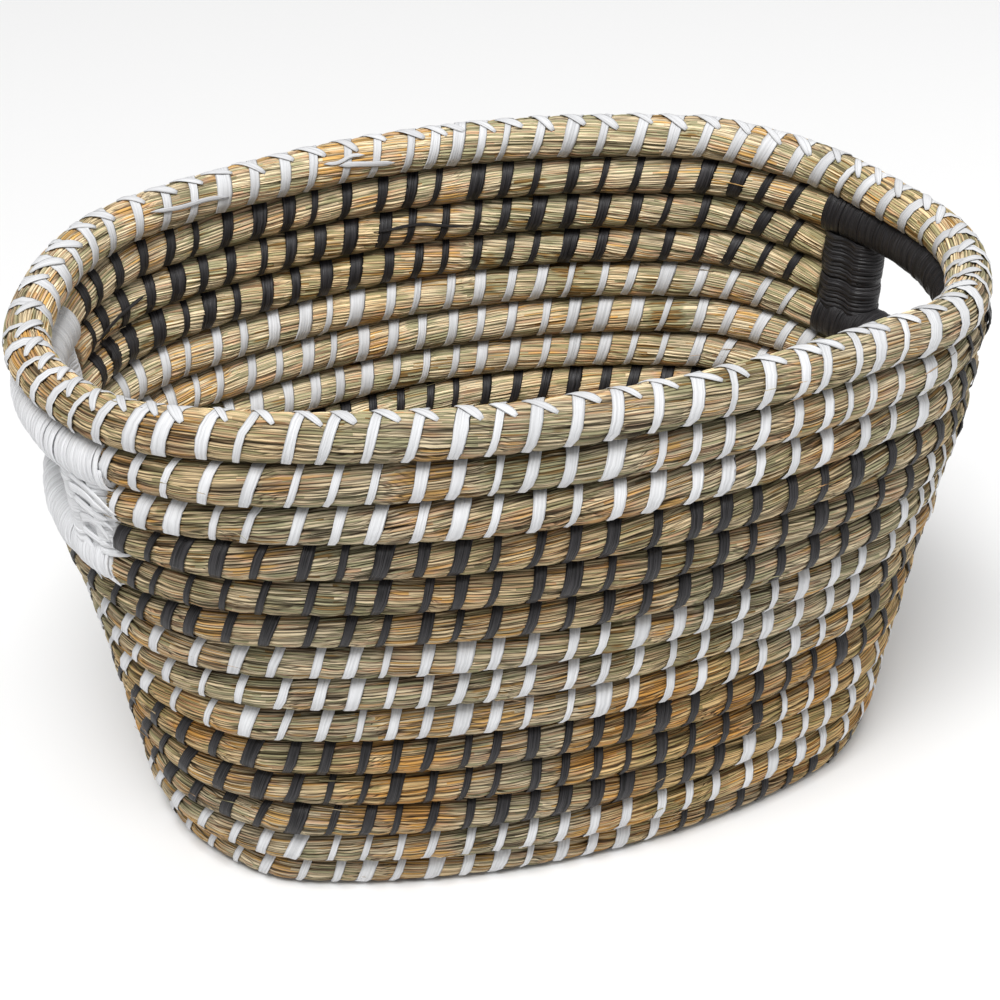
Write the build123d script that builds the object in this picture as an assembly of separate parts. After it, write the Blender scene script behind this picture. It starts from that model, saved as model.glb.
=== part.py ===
from build123d import *
import math
import os

# Coiled oval basket. A bundle of seagrass is wound in level oval rounds, each laid on the last,
# and every round is sewn down with flat strips of white or black raffia. Each end of the oval has
# a hand opening two rounds high, with a wrapped grip over it, a wrapped sill under it and a
# wrapped post at each side.
# Millimetres, +Z up, +X along the oval, origin at the middle of the base on the surface it rests on.

# ---- driving dimensions ----
RIM_HALF_LENGTH = 228.0       # centre line of the rim round, along X
RIM_HALF_WIDTH = 137.0        # centre line of the rim round, along Y
END_CENTRE_X = 110.0          # centre of the arc that rounds each end of a wall round
# Thickness of each wall round with its strips, from the rim (round 1) down to round 14.
THICKNESS = (23.0, 20.5, 21.5, 21.0, 21.5, 21.5, 21.0, 20.5, 23.0, 23.5, 22.0, 21.0, 20.0, 20.0)
# Lean of the wall out from upright below each round, in degrees.
LEAN = (0.0, 2.0, 5.0, 7.5, 8.5, 9.0, 9.5, 9.0, 7.5, 5.5, 4.5, 5.0, 15.0)
STRIP = 0.7                   # thickness of a raffia strip
GAP = 0.08                    # room between a strip and the bundles it passes
FLAT = 0.6                    # how far the lowest bundles are pressed flat where they stand
STITCH_SPACING = 17.0         # from stitch to stitch along a round
STITCH_WIDTH = 6.0
CROSSING_WIDTH = 4.0          # the short strips laid across the top of the rim
CROSSING_SPAN = 110.0         # how far they reach round the rim, degrees
STITCH_OPEN = 64.0            # the part of a bundle left bare where it lies on the next, degrees
BASE_STITCH_OPEN = 110.0      # the same under the base, degrees
BASE_ROUNDS = 4               # rounds of the flat base round its straight first length
BASE_EDGE = 22.0              # from the lowest wall round in to the first oval of the base
BASE_COIL = 15.8              # thickness of the base bundle
BASE_GAP = 0.3                # room between a base strip and its bundle, which bends more sharply
BASE_STITCH_WIDTH = 4.0
OPENING_ANGLE = 18.0          # half of a hand opening, seen from the centre of the end arc
WRAP_ANGLE = 34.0             # half of the wrapped grip and sill, seen from the same centre
GRIP_ROUND = 2
SILL_ROUND = 5
WRAP_RADIUS = 12.4            # outside of the grip and sill windings
WRAP_SHIFT = 2.6              # their extra thickness on the side of the opening
POST_THICKNESS = 20.0         # the wrapped posts, through the wall
FRONT_COLOURS = "WWWBBBWWWBBBWW"   # strip colour of each round on the -Y side
BACK_COLOURS = "WBBBWWWBBBWWWB"    # strip colour of each round on the +Y side
CHANGE_RIGHT = -50.0          # where round 2 changes colour at the +X end, degrees
CHANGE_LEFT = 190.0           # where it changes at the -X end, degrees
CHANGE_STEP = -2.8            # how far each lower round moves its changes on, degrees

SLACK = STRIP + 3 * GAP       # bare gap between one bundle and the next


def oval(half_length, half_width, centre_x):
    """Four tangent arcs: end radius, side radius, side centre distance and where they join."""
    end_radius = half_length - centre_x
    bulge = half_width - end_radius
    side_y = (centre_x**2 - bulge**2) / (2 * bulge)
    side_radius = half_width + side_y
    joint = math.degrees(math.atan2(side_y, centre_x))
    return {"end": end_radius, "side": side_radius, "cx": centre_x, "cy": side_y, "joint": joint}


def wall_rounds():
    """Centre line and bundle size of every wall round, from the rim down."""
    drop, inset = [0.0], [0.0]
    for i, lean in enumerate(LEAN):
        step = (THICKNESS[i] + THICKNESS[i + 1]) / 2
        drop.append(drop[-1] + step * math.cos(math.radians(lean)))
        inset.append(inset[-1] + step * math.sin(math.radians(lean)))
    lowest = (THICKNESS[-1] - SLACK) / 2 - FLAT
    rounds = []
    for i, thickness in enumerate(THICKNESS):
        shape = oval(RIM_HALF_LENGTH - inset[i], RIM_HALF_WIDTH - inset[i], END_CENTRE_X)
        shape["z"] = lowest + drop[-1] - drop[i]
        shape["r"] = (thickness - SLACK) / 2
        shape["lean"] = LEAN[i] if i < len(LEAN) else 0.0
        rounds.append(shape)
    return rounds


def base_rounds(lowest):
    """Ovals of the flat base, from the outermost in. They grow less full towards the middle."""
    half_length = lowest["end"] + lowest["cx"]
    half_width = lowest["side"] - lowest["cy"]
    step = (half_width - BASE_EDGE) / BASE_ROUNDS
    core = half_length - half_width
    rounds = []
    for k in range(BASE_ROUNDS, 0, -1):
        centre = core + (lowest["cx"] - core) * k / (BASE_ROUNDS + 1)
        shape = oval(core + k * step, k * step, centre)
        shape["z"] = BASE_COIL / 2 - FLAT
        shape["r"] = BASE_COIL / 2
        rounds.append(shape)
    return rounds, core


def arcs(shape, start=0.0, stop=360.0):
    """The arcs of an oval between two directions, as (centre, radius, from, to)."""
    joint = shape["joint"]
    ends = [joint, 180 - joint, 180 + joint, 360 - joint]
    centres = [(0, -shape["cy"]), (-shape["cx"], 0), (0, shape["cy"]), (shape["cx"], 0)]
    radii = [shape["side"], shape["end"], shape["side"], shape["end"]]
    found = []
    for turn in (-360, 0, 360):
        for k in range(4):
            low = max(start, ends[k] + turn)
            high = min(stop, (ends[k + 1] if k < 3 else ends[0] + 360) + turn)
            if high - low > 0.01:
                found.append((centres[k], radii[k], low, high))
    return found


def at_angle(shape, angle):
    """Point of the centre line where it faces the given direction, and that direction."""
    joint = shape["joint"]
    folded = abs((angle + 90) % 180 - 90)
    out = Vector(math.cos(math.radians(angle)), math.sin(math.radians(angle)), 0)
    if folded > joint:
        centre = Vector(0, -math.copysign(shape["cy"], out.Y), shape["z"])
        return centre + out * shape["side"], out
    centre = Vector(math.copysign(shape["cx"], out.X), 0, shape["z"])
    return centre + out * shape["end"], out


def along(shape, start=0.0, stop=360.0, spacing=STITCH_SPACING):
    """Directions at which equally spaced stitches stand along a length of the oval."""
    pieces = arcs(shape, start, stop)
    total = sum(radius * math.radians(high - low) for _, radius, low, high in pieces)
    count = round(total / spacing)
    angles = []
    for i in range(count):
        left = (i + 0.5) * total / count
        for _, radius, low, high in pieces:
            length = radius * math.radians(high - low)
            if left <= length:
                angles.append(low + math.degrees(left / radius))
                break
            left -= length
    return angles


def turned(profile, centre, z, low, high):
    """A profile drawn with +X outwards, turned about the upright axis through an arc's centre."""
    plane = Plane(origin=(centre[0], centre[1], z), x_dir=(1, 0, 0), z_dir=(0, -1, 0))
    solid = revolve(plane * profile, Axis((centre[0], centre[1], 0), (0, 0, 1)), high - low)
    axis = Axis((centre[0], centre[1], 0), (0, 0, 1))
    return solid.rotate(axis, low)


def bundle(shape, start=0.0, stop=360.0, flat=False):
    """Round bundle along an oval between two directions, flat where it stands on the ground."""
    section = Circle(shape["r"])
    if flat:
        section &= Pos(0, -shape["z"] + 2 * shape["r"]) * Rectangle(4 * shape["r"], 4 * shape["r"])
    lengths = []
    for centre, radius, low, high in arcs(shape, start, stop):
        lengths.append(turned(Pos(radius, 0) * section, centre, shape["z"], low, high))
    return lengths[0].fuse(*lengths[1:]) if len(lengths) > 1 else lengths[0]


def clip(radius, width, gap, opening, facing):
    """One stitch: a strip bent round a bundle, open towards the direction it faces."""
    ring = Circle(radius + gap + STRIP) - Circle(radius + gap)
    reach = 3 * radius
    half = math.radians(opening / 2)
    wedge = Polygon(
        (0, 0),
        (reach * math.cos(half), reach * math.sin(half)),
        (reach * math.cos(half), -reach * math.sin(half)),
        align=None,
    )
    return extrude(Rot(0, 0, facing) * (ring - wedge), width / 2, both=True)


def sewn(shape, strip, angles):
    """Copies of one stitch set square to the bundle at each direction."""
    placed = []
    for angle in angles:
        point, out = at_angle(shape, angle)
        square = Plane(origin=point, x_dir=out, z_dir=Vector(0, 0, 1).cross(out))
        placed.append(square.location * strip)
    return placed


def side_of(angle, number):
    """B for the back (+Y) strip colours and F for the front ones, at a wall round."""
    shift = CHANGE_STEP * (number - 2)
    low, high = CHANGE_RIGHT + shift, CHANGE_LEFT + shift
    return "B" if (angle - low) % 360 < high - low else "F"


def near_an_end(angle, limit):
    """True where a direction is within the limit of +X or -X."""
    return abs((angle + 90) % 180 - 90) < limit


def save(solids, name):
    """One node: a single solid, or a group of like solids."""
    shape = solids[0] if len(solids) == 1 else Compound(children=list(solids))
    export_step(shape, f"parts/{name}.step")


def make_bundles(rounds):
    """Wall rounds, with those beside the hand openings in a front and a back length."""
    for number, shape in enumerate(rounds, start=1):
        name = "rim_coil" if number == 1 else f"wall_coil_{number:02d}"
        if GRIP_ROUND < number < SILL_ROUND:
            save([bundle(shape, WRAP_ANGLE, 180 - WRAP_ANGLE)], name + "_back")
            save([bundle(shape, 180 + WRAP_ANGLE, 360 - WRAP_ANGLE)], name + "_front")
        else:
            save([bundle(shape, flat=number == ROUNDS)], name)


def make_stitches(rounds):
    """The strips that sew each wall round, one node for each colour of a round."""
    for number, shape in enumerate(rounds, start=1):
        strip = clip(shape["r"], STITCH_WIDTH, GAP, STITCH_OPEN, 90 + shape["lean"])
        if number == ROUNDS:
            strip = clip(shape["r"], STITCH_WIDTH, GAP, BASE_STITCH_OPEN, 90)
        by_colour = {"W": [], "B": []}
        for angle in along(shape):
            if GRIP_ROUND <= number <= SILL_ROUND and near_an_end(angle, WRAP_ANGLE + 2):
                continue
            colours = BACK_COLOURS if side_of(angle, number) == "B" else FRONT_COLOURS
            by_colour[colours[number - 1]].append(angle)
        for letter, colour in (("W", "white"), ("B", "black")):
            if by_colour[letter]:
                save(sewn(shape, strip, by_colour[letter]), f"{colour}_stitches_{number:02d}")


def make_crossings(rim):
    """Short strips over the top of the rim, between its stitches."""
    strip = clip(rim["r"], CROSSING_WIDTH, GAP, 360 - CROSSING_SPAN, 90)
    angles = along(rim)
    between = []
    for i, angle in enumerate(angles):
        following = angles[(i + 1) % len(angles)] + (360 if i + 1 == len(angles) else 0)
        between.append((angle + following) / 2)
    save(sewn(rim, strip, between), "rim_crossing_strips")


def make_handle(rounds, colour, middle):
    """Windings of one grip, its two posts and its sill, about the direction of that end."""
    grip, sill = rounds[GRIP_ROUND - 1], rounds[SILL_ROUND - 1]
    centre = (math.copysign(END_CENTRE_X, math.cos(math.radians(middle))), 0)
    low, high = middle - WRAP_ANGLE, middle + WRAP_ANGLE

    def winding(shape, shift):
        outer = Pos(shape["end"], shift) * Circle(WRAP_RADIUS)
        sleeve = outer - Pos(shape["end"], 0) * Circle(shape["r"] + GAP)
        return turned(sleeve, centre, shape["z"], low, high)

    save([winding(grip, -WRAP_SHIFT)], f"{colour}_grip_wrap")
    save([winding(sill, WRAP_SHIFT)], f"{colour}_sill_wrap")
    rise = grip["z"] - sill["z"]
    run = grip["end"] - sill["end"]
    tilt = math.degrees(math.atan2(run, rise))
    block = Rectangle(POST_THICKNESS, math.hypot(rise, run))
    section = Pos(sill["end"] + run / 2, rise / 2) * Rot(0, 0, -tilt) * block
    section -= Pos(sill["end"], WRAP_SHIFT) * Circle(WRAP_RADIUS + GAP)
    section -= Pos(grip["end"], rise - WRAP_SHIFT) * Circle(WRAP_RADIUS + GAP)
    posts = []
    for start in (low, middle + OPENING_ANGLE):
        length = WRAP_ANGLE - OPENING_ANGLE
        posts.append(turned(section, centre, sill["z"], start, start + length))
    save(posts, f"{colour}_post_wraps")


def make_base(lowest):
    """Flat base inside the lowest wall round: four ovals round a straight first length."""
    rounds, core = base_rounds(lowest)
    stitches = []
    strip = clip(BASE_COIL / 2, BASE_STITCH_WIDTH, BASE_GAP, BASE_STITCH_OPEN, 90)
    for number, shape in enumerate(rounds, start=1):
        save([bundle(shape, flat=True)], f"base_coil_{number}")
        stitches += sewn(shape, strip, along(shape))
    height = BASE_COIL / 2 - FLAT
    bar = Rot(0, 90, 0) * Cylinder(BASE_COIL / 2, 2 * core)
    bar = Pos(0, 0, height) * bar & Pos(0, 0, BASE_COIL) * Box(3 * core, 2 * BASE_COIL, 2 * BASE_COIL)
    save([bar], "base_core")
    count = int(2 * core / STITCH_SPACING)
    for i in range(count):
        x = (i - (count - 1) / 2) * STITCH_SPACING
        square = Plane(origin=(x, 0, height), x_dir=(0, 1, 0), z_dir=(-1, 0, 0))
        stitches.append(square.location * strip)
    save(stitches, "base_stitches")


ROUNDS = len(THICKNESS)
os.makedirs("parts", exist_ok=True)
wall = wall_rounds()
make_bundles(wall)
make_stitches(wall)
make_crossings(wall[0])
make_handle(wall, "black", 0.0)
make_handle(wall, "white", 180.0)
make_base(wall[-1])
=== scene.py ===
"""Coiled oval basket: straw bundles, raffia stitches, wrapped hand openings and a plain studio."""

import bpy
import numpy as np
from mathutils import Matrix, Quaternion, Vector


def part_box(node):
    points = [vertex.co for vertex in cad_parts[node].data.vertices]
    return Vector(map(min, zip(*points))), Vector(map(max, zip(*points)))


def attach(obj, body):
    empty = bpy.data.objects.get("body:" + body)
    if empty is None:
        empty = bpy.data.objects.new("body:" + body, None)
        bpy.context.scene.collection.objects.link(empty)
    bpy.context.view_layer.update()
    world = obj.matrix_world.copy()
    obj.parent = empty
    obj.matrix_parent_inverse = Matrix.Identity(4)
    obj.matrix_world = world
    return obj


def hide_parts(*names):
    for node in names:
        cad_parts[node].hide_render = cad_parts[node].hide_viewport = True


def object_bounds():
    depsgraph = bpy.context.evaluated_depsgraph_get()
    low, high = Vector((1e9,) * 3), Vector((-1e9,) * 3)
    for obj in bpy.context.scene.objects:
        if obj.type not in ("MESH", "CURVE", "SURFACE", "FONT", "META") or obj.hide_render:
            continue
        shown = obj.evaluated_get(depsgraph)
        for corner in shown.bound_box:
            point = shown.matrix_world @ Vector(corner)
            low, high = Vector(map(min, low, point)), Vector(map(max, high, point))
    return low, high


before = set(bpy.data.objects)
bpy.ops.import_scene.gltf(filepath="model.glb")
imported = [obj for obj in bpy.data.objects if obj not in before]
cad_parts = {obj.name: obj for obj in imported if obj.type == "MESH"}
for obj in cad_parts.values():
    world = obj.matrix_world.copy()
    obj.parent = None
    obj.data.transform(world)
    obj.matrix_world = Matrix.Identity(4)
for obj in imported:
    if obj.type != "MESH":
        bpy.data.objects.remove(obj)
CAD_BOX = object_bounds()

bl_info = {
    "name": "Coiled Basket",
    "version": (1, 0, 0),
    "blender": (4, 5, 0),
    "location": "View3D > Sidebar > Basket",
    "description": "Builds a coiled straw basket sewn with white and black raffia",
    "category": "Add Mesh",
}

MM = 0.001
TURN = 2 * np.pi
WALL_ROUNDS = 14
GRIP_ROUND, SILL_ROUND = 2, 5
BASE_ROUNDS = 4
BASE_FLAT = 0.6 * MM               # how much the underside of a base bundle is flattened
END_CENTRE_X = 110 * MM            # centre of the arc that rounds each end of a wall round
WRAP_ANGLE = 34.0                  # half of the wrapped grip and sill, seen from that centre
OPENING_ANGLE = 18.0               # half of the hand opening, seen from the same place
BROAD_POST = 4.5                   # how much broader the white post on the -Y side is
SHORT_SILL = 4.0                   # how much shorter the white sill is on the -Y side
FRONT_COLOURS = "WWWBBBWWWBBBWW"   # strip colour of each round on the -Y side
BACK_COLOURS = "WBBBWWWBBBWWWB"    # strip colour of each round on the +Y side
CHANGE_RIGHT, CHANGE_LEFT, CHANGE_STEP = -50.0, 190.0, -2.8
STRAW_PLACES = np.array([0.0, 0.3, 0.7])    # points across one straw, from its groove
STRAW_HEIGHTS = np.array([-1.0, 0.0, 0.0])  # the same points in straw reliefs
SUNK = 1.9 * MM                    # a straw sunk this far lies wholly in painted shade
ROUND_OVERLAP = 0.35 * MM          # how far a wall bundle reaches past half way to the next one
RIM_SURPLUS = 0.4 * MM             # how far the rim bundle rises over its CAD box
LOWEST_STRAW = 0.9 * MM            # straws stay this far above the floor
LOWEST_STRIP = 0.5 * MM            # strips stay this far above the floor
CINCH_REACH = 3.4 * MM             # how far along its bundle a stitch squeezes it
WINDING_SQUEEZE = 2.8 * MM         # how far a winding squeezes the bundle it covers
SQUEEZE_MARGIN = 1.5               # the squeeze stops this far inside a winding's ends
STITCH_MARGIN = 2.5                # the stitches start this far outside a winding's ends
STITCH_DRIFT = 0.9 * MM            # how far a stitch stands off its even place by chance
NARROWEST, WIDEST = 3.4 * MM, 8.4 * MM    # limits of the width of a stitch
ROWS_PER_TURN = 26                 # rows of a winding in one turn
CORE_POINTS = 40                   # points round the core under a winding
POST_INSET, POST_DENT = 0.14, 0.36    # a post starts inside its grip, and is waisted
TAIL_HEIGHT = 11.6 * MM            # from a bundle's centre line to a loose end laid over it
RIPE_BELOW = 8                     # the rounds below this one have riper straw
BASE_NUMBER = 20                   # base rounds are numbered from here


# ---------------------------------------------------------------- settings

def length_setting(name, text, millimetres):
    return bpy.props.FloatProperty(name=name, description=text, default=millimetres * MM,
                                   unit="LENGTH", precision=5)


def angle_setting(name, text, degrees):
    return bpy.props.FloatProperty(name=name, description=text, default=np.radians(degrees),
                                   subtype="ANGLE")


def power_setting(name, text, watts):
    return bpy.props.FloatProperty(name=name, description=text, default=watts, unit="POWER")


def colour_setting(name, text, colour):
    return bpy.props.FloatVectorProperty(name=name, description=text, default=colour,
                                         subtype="COLOR", size=3, min=0, max=1)


class BasketStrawSettings(bpy.types.PropertyGroup):
    straws: bpy.props.IntProperty(
        name="Straws", description="Straws that show round one bundle", default=46, min=12, max=60)
    straw_relief: length_setting("Straw relief", "Depth of the groove between two straws", 0.8)
    straw_lift: length_setting(
        "Straw lift", "How far single straws rise and sink along a bundle", 0.55)
    cinch: length_setting("Cinch", "How far a stitch squeezes its bundle", 0.9)
    step: length_setting("Step", "Length of one face along a bundle", 3.6)
    pale: colour_setting("Pale straw", "Colour of the dry pale straws", (0.82, 0.68, 0.45))
    green: colour_setting("Grey-green straw", "Colour of the straws cut green", (0.43, 0.40, 0.23))
    golden: colour_setting("Golden straw", "Colour of the ripe straws", (0.70, 0.42, 0.14))
    pink: colour_setting("Tan straw", "Colour of the pinkish tan straws", (0.66, 0.43, 0.27))
    # shade is the painted shade colour laid in the grooves, the dark streaks and on sunk straws.
    shade: colour_setting("Between straws", "Colour deep between two straws", (0.040, 0.024, 0.012))


class BasketRaffiaSettings(bpy.types.PropertyGroup):
    width: length_setting("Strip width", "Usual width of a stitching strip", 5.3)
    spread: bpy.props.FloatProperty(
        name="Width spread", description="How much strip widths differ, as a share",
        default=0.27, min=0, max=1, subtype="FACTOR")
    thickness: length_setting("Strip thickness", "Thickness of a stitching strip", 0.55)
    spacing: length_setting("Stitch spacing", "From stitch to stitch along a bundle", 16.5)
    white: colour_setting("White raffia", "Colour of the white strips", (0.78, 0.785, 0.80))
    black: colour_setting("Black raffia", "Colour of the black strips", (0.032, 0.030, 0.032))


class BasketHandleSettings(bpy.types.PropertyGroup):
    turn: length_setting("Turn", "From turn to turn of the windings", 2.0)
    grip_radius: length_setting("Grip radius", "Outside radius of the grip windings", 11.7)
    sill_radius: length_setting("Sill radius", "Outside radius of the sill windings", 12.0)
    raise_black_grip: length_setting(
        "Raised black grip", "How far the black grip sits above its bundle", 2.2)
    raise_white_grip: length_setting(
        "Raised white grip", "How far the white grip sits above its bundle", -2.4)
    raise_sill: length_setting(
        "Raised sill", "How far the sill windings sit above their bundle", 2.0)
    post_depth: length_setting("Post depth", "Half of a post, through the wall", 10.5)


class BasketShapeSettings(bpy.types.PropertyGroup):
    saddle: length_setting("Saddle", "How far the rim dips at its ends and rises at its sides", 6.8)
    skew: length_setting("Skew", "How far the hand-made oval leans to one diagonal at the rim", 8.0)
    tilt: length_setting(
        "Tilt", "How much the rim is higher on the -Y side than in the middle", 2.4)
    foot: length_setting("Foot", "How much shorter and wider the lowest round is", 4.5)
    drift: length_setting("Drift", "How far the rim stands towards -X of the base", 7.0)
    wobble: length_setting("Wobble", "Small unevenness of each round", 0.7)


class BasketStageSettings(bpy.types.PropertyGroup):
    azimuth: angle_setting("Azimuth", "Camera direction round the basket", 16.94)
    elevation: angle_setting("Elevation", "Camera height over the rim", 30.5)
    distance: bpy.props.FloatProperty(
        name="Distance", description="From the camera to the middle of the rim",
        default=1.088, unit="LENGTH")
    lens: bpy.props.FloatProperty(
        name="Lens", description="Focal length on a 36 mm frame, in millimetres", default=80.1)
    aim_side: length_setting("Aim sideways", "How far beside the middle the camera aims", -3)
    aim_down: length_setting("Aim down", "How far below the rim the camera aims", 132)
    roll: angle_setting("Roll", "Turn of the camera about its own axis", -0.18)
    sky: bpy.props.FloatProperty(
        name="Surroundings", description="Brightness of the pale surroundings", default=0.31)
    key: power_setting("Key lamp", "Power of the wide lamp at the upper left front", 176.0)
    fill: power_setting("Fill lamp", "Power of the soft lamp on the right", 9.0)
    floor: colour_setting("Floor", "Colour of the floor", (0.92, 0.92, 0.92))


# ---------------------------------------------------------------- the rounds of the basket

class Round:
    """One oval round: four tangent arcs at one height, read from its CAD node's box.

    The end arcs turn about (+-cx, 0) with radius `end`, the side arcs about (0, -+cy) with radius
    `side`, and they meet where the outward direction is `joint`.
    """

    def __init__(self, number, half_length, half_width, centre_x, height, radius, spans):
        self.number, self.height, self.radius, self.spans = number, height, radius, spans
        self.lean = 0.0    # outward lean of the wall, set once the round below is known
        self.cx = centre_x
        self.end = half_length - centre_x
        bulge = half_width - self.end
        self.cy = (centre_x**2 - bulge**2) / (2 * bulge)
        self.side = half_width + self.cy
        self.joint = np.arctan2(self.cy, centre_x)

    def flat_line(self, angle):
        """Centre line before the hand-made unevenness: arc centre plus radius times direction."""
        out = np.stack([np.cos(angle), np.sin(angle)], -1)
        on_side = np.abs((angle + np.pi / 2) % np.pi - np.pi / 2) > self.joint
        middle_x = np.where(on_side, 0, np.copysign(self.cx, out[..., 0]))
        middle_y = np.where(on_side, -np.copysign(self.cy, out[..., 1]), 0)
        reach = np.where(on_side, self.side, self.end)
        x = middle_x + reach * out[..., 0]
        y = middle_y + reach * out[..., 1]
        return np.stack([x, y, np.full_like(x, self.height)], -1)


def shape_settings():
    return bpy.context.scene.basket_shape


def unit(vectors, tiny=0.0):
    return vectors / (np.linalg.norm(vectors, axis=-1, keepdims=True) + tiny)


def waves(angle, seed, lowest, highest):
    """Smooth noise about 1 high that closes on itself: cosines of whole numbers of waves."""
    random = np.random.default_rng(seed)
    total = np.zeros_like(angle)
    for count in range(lowest, highest + 1):
        size = random.normal() / np.sqrt(highest - lowest + 1)
        total += size * np.cos(count * angle + random.uniform(0, TURN))
    return total


def warp(points, angle):
    """Hand-made unevenness: the rim dips at its ends and its oval leans to one diagonal, both
    growing with the height as cos and sin of twice the direction. The foot is a little shorter and
    wider, and the whole wall leans along X and stands a little higher on the -Y side.
    """
    shape = shape_settings()
    rim = CAD_BOX[1][2]
    share = np.clip(points[..., 2] / rim, 0, 1.1)
    lifted = points.copy()
    outward = -shape.skew * share * np.sin(2 * angle) - shape.foot * (1 - share) * np.cos(2 * angle)
    lifted[..., 0] += outward * np.cos(angle) + shape.drift * (0.5 - share)
    lifted[..., 1] += outward * np.sin(angle)
    lifted[..., 2] -= share * (shape.saddle * np.cos(2 * angle) + shape.tilt * np.sin(angle))
    return lifted


def centre_line(oval, angle):
    """Centre line of a round with its warp and its own small wobble."""
    wobble = shape_settings().wobble
    points = oval.flat_line(angle)
    sideways = wobble * waves(angle, 300 + oval.number, 2, 9)
    points[..., 0] += sideways * np.cos(angle)
    points[..., 1] += sideways * np.sin(angle)
    return warp(points, angle)


def track(oval, samples=1441):
    """Length run along the round against direction, over one whole turn from direction 0."""
    angle = np.linspace(0, TURN, samples)
    steps = np.linalg.norm(np.diff(centre_line(oval, angle), axis=0), axis=1)
    return angle, np.concatenate([[0], np.cumsum(steps)])


def frame_at(oval, angle):
    """Point, direction along, outward direction and upward direction at each angle."""
    point = centre_line(oval, angle)
    ahead = unit(centre_line(oval, angle + 0.002) - centre_line(oval, angle - 0.002))
    up = np.zeros_like(ahead)
    up[..., 2] = 1
    outward = unit(np.cross(ahead, up))
    up = np.cross(outward, ahead)
    return point, ahead, outward, up


def node_box(name):
    low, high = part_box(name)
    return np.array(low), np.array(high)


def read_wall():
    """The fourteen wall rounds. Rounds beside the hand openings come in two lengths."""
    whole = [("", 0.0, TURN)]
    wrap = np.radians(WRAP_ANGLE)
    halves = [("_back", wrap, np.pi - wrap), ("_front", np.pi + wrap, TURN - wrap)]
    rounds = []
    for number in range(1, WALL_ROUNDS + 1):
        name = "rim_coil" if number == 1 else f"wall_coil_{number:02d}"
        split = GRIP_ROUND < number < SILL_ROUND
        low, high = node_box(name + ("_back" if split else ""))
        radius = (high[2] - low[2]) / 2
        height = (high[2] + low[2]) / 2
        half_width = high[1] - radius
        if split:
            half_length = rounds[0].end + END_CENTRE_X + half_width - rounds[0].side + rounds[0].cy
        else:
            half_length = high[0] - radius
        rounds.append(Round(number, half_length, half_width, END_CENTRE_X, height, radius,
                            halves if split else whole))
    for upper, lower in zip(rounds, rounds[1:]):
        upper.lean = np.arctan2(upper.end - lower.end, upper.height - lower.height)
        upper.pitch = np.hypot(upper.end - lower.end, upper.height - lower.height)
    rounds[-1].pitch = 2 * rounds[-1].radius
    # A bundle reaches a little past half way to each neighbour. It is uneven, so that a thin
    # slit can stay open between two rounds.
    pitches = [rounds[0].pitch] + [r.pitch for r in rounds[:-1]]
    for above, oval in zip(pitches, rounds):
        oval.radius = (above + oval.pitch) / 4 + ROUND_OVERLAP
    rounds[0].radius = node_box("rim_coil")[1][2] - rounds[0].height + RIM_SURPLUS
    return rounds


def side_is_back(angle, number):
    """True where a round carries its back colour: between its two changes of colour."""
    low = np.radians(CHANGE_RIGHT + CHANGE_STEP * (number - 2))
    high = np.radians(CHANGE_LEFT + CHANGE_STEP * (number - 2))
    return (angle - low) % TURN < high - low


def near_an_end(angle, limit):
    """True where a direction is within the limit of +X or -X, in radians."""
    return np.abs((angle + np.pi / 2) % np.pi - np.pi / 2) < limit


def even_places(oval, spacing):
    """Directions of stitches spaced evenly round one round."""
    angles, length = track(oval)
    count = round(length[-1] / spacing)
    return np.interp((np.arange(count) + 0.5) / count * length[-1], length, angles)


def stitch_angles(rounds, spacing):
    """Directions of the stitches of each round, from the lowest up.

    Each stitch stands over the one below it and drifts a little; where the rounds grow longer a
    new stitch is put in the widest gaps, and the row is eased towards even spacing.
    """
    random = np.random.default_rng(11)
    places = even_places(rounds[-1], spacing)
    found = {}
    for oval in reversed(rounds):
        angles, length = track(oval)
        run = np.sort(np.interp(places % TURN, angles, length))
        gap = np.diff(np.append(run, run[0] + length[-1]))
        wide = gap > 1.3 * spacing
        run = np.sort(np.concatenate([run, run[wide] + gap[wide] / 2]) % length[-1])
        for _ in range(3):
            before = np.concatenate([[run[-1] - length[-1]], run[:-1]])
            after = np.concatenate([run[1:], [run[0] + length[-1]]])
            run = run + 0.22 * ((before + after) / 2 - run)
        run = np.sort((run + random.normal(0, STITCH_DRIFT, len(run))) % length[-1])
        places = np.interp(run, length, angles)
        found[oval.number] = places
    return found


# ---------------------------------------------------------------- meshes from grids

def grid_faces(rows, columns, wrap_rows, wrap_columns):
    """Corner numbers of the quads of a grid, and the same corners in its unwrapped UV grid."""
    i, j = np.meshgrid(np.arange(rows if wrap_rows else rows - 1),
                       np.arange(columns if wrap_columns else columns - 1), indexing="ij")
    i, j = i.ravel(), j.ravel()
    corners_i = np.stack([i, i + 1, i + 1, i], 1)
    corners_j = np.stack([j, j, j + 1, j + 1], 1)
    verts = (corners_i % rows) * columns + corners_j % columns
    uv = corners_i * (columns + 1) + corners_j
    return verts, uv


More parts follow.
